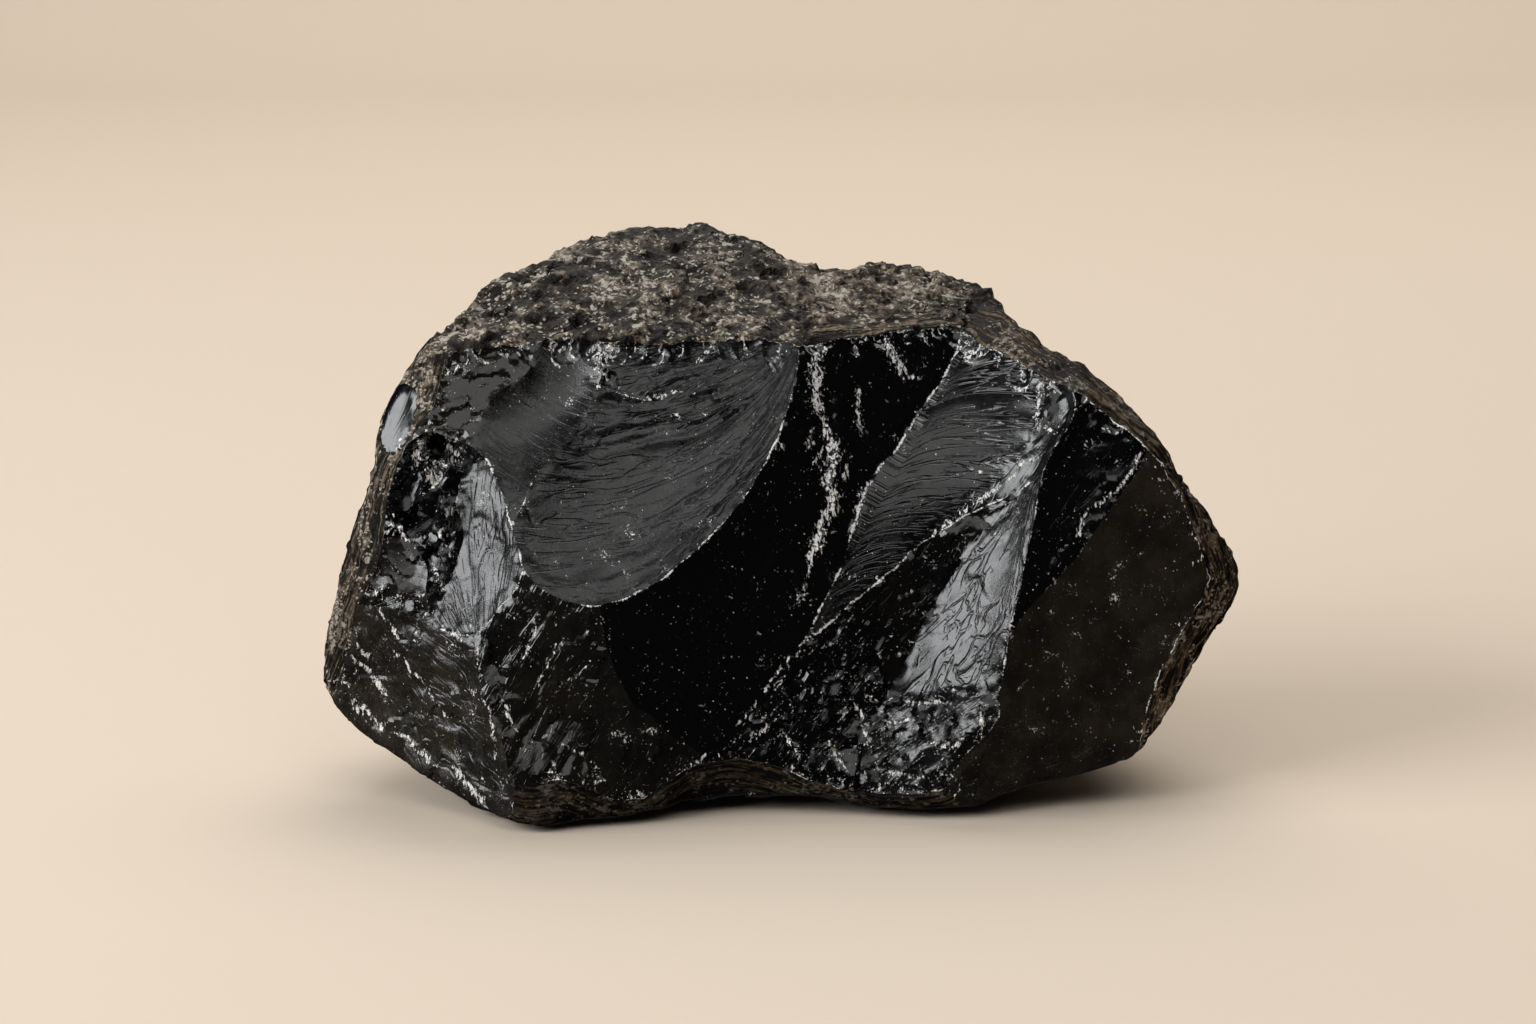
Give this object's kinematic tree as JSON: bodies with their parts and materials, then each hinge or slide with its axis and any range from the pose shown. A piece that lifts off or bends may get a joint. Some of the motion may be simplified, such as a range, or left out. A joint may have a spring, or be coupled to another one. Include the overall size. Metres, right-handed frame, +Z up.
{
  "type": "obsidian chunk",
  "caption": "Hand-sized broken lump of black volcanic glass with shell-shaped scars, sharp ridges, a rough brown rind on top and a flat underside to rest on.",
  "frame": {"origin": "centre of the bounding box, at the flat underside", "axes": "+X along the longest side, to the right of the great scar seen from the front; +Y away from the front, to the back; +Z up"},
  "size_m": [0.15, 0.0794, 0.0881],
  "materials": {
    "obsidian": "black volcanic glass: glossy rippled fracture scars with chipped grey-white ridges, and a dull grey-brown granular rind"
  },
  "bodies": {
    "root": {"obsidian_chunk": "obsidian"}
  },
  "joints": []
}
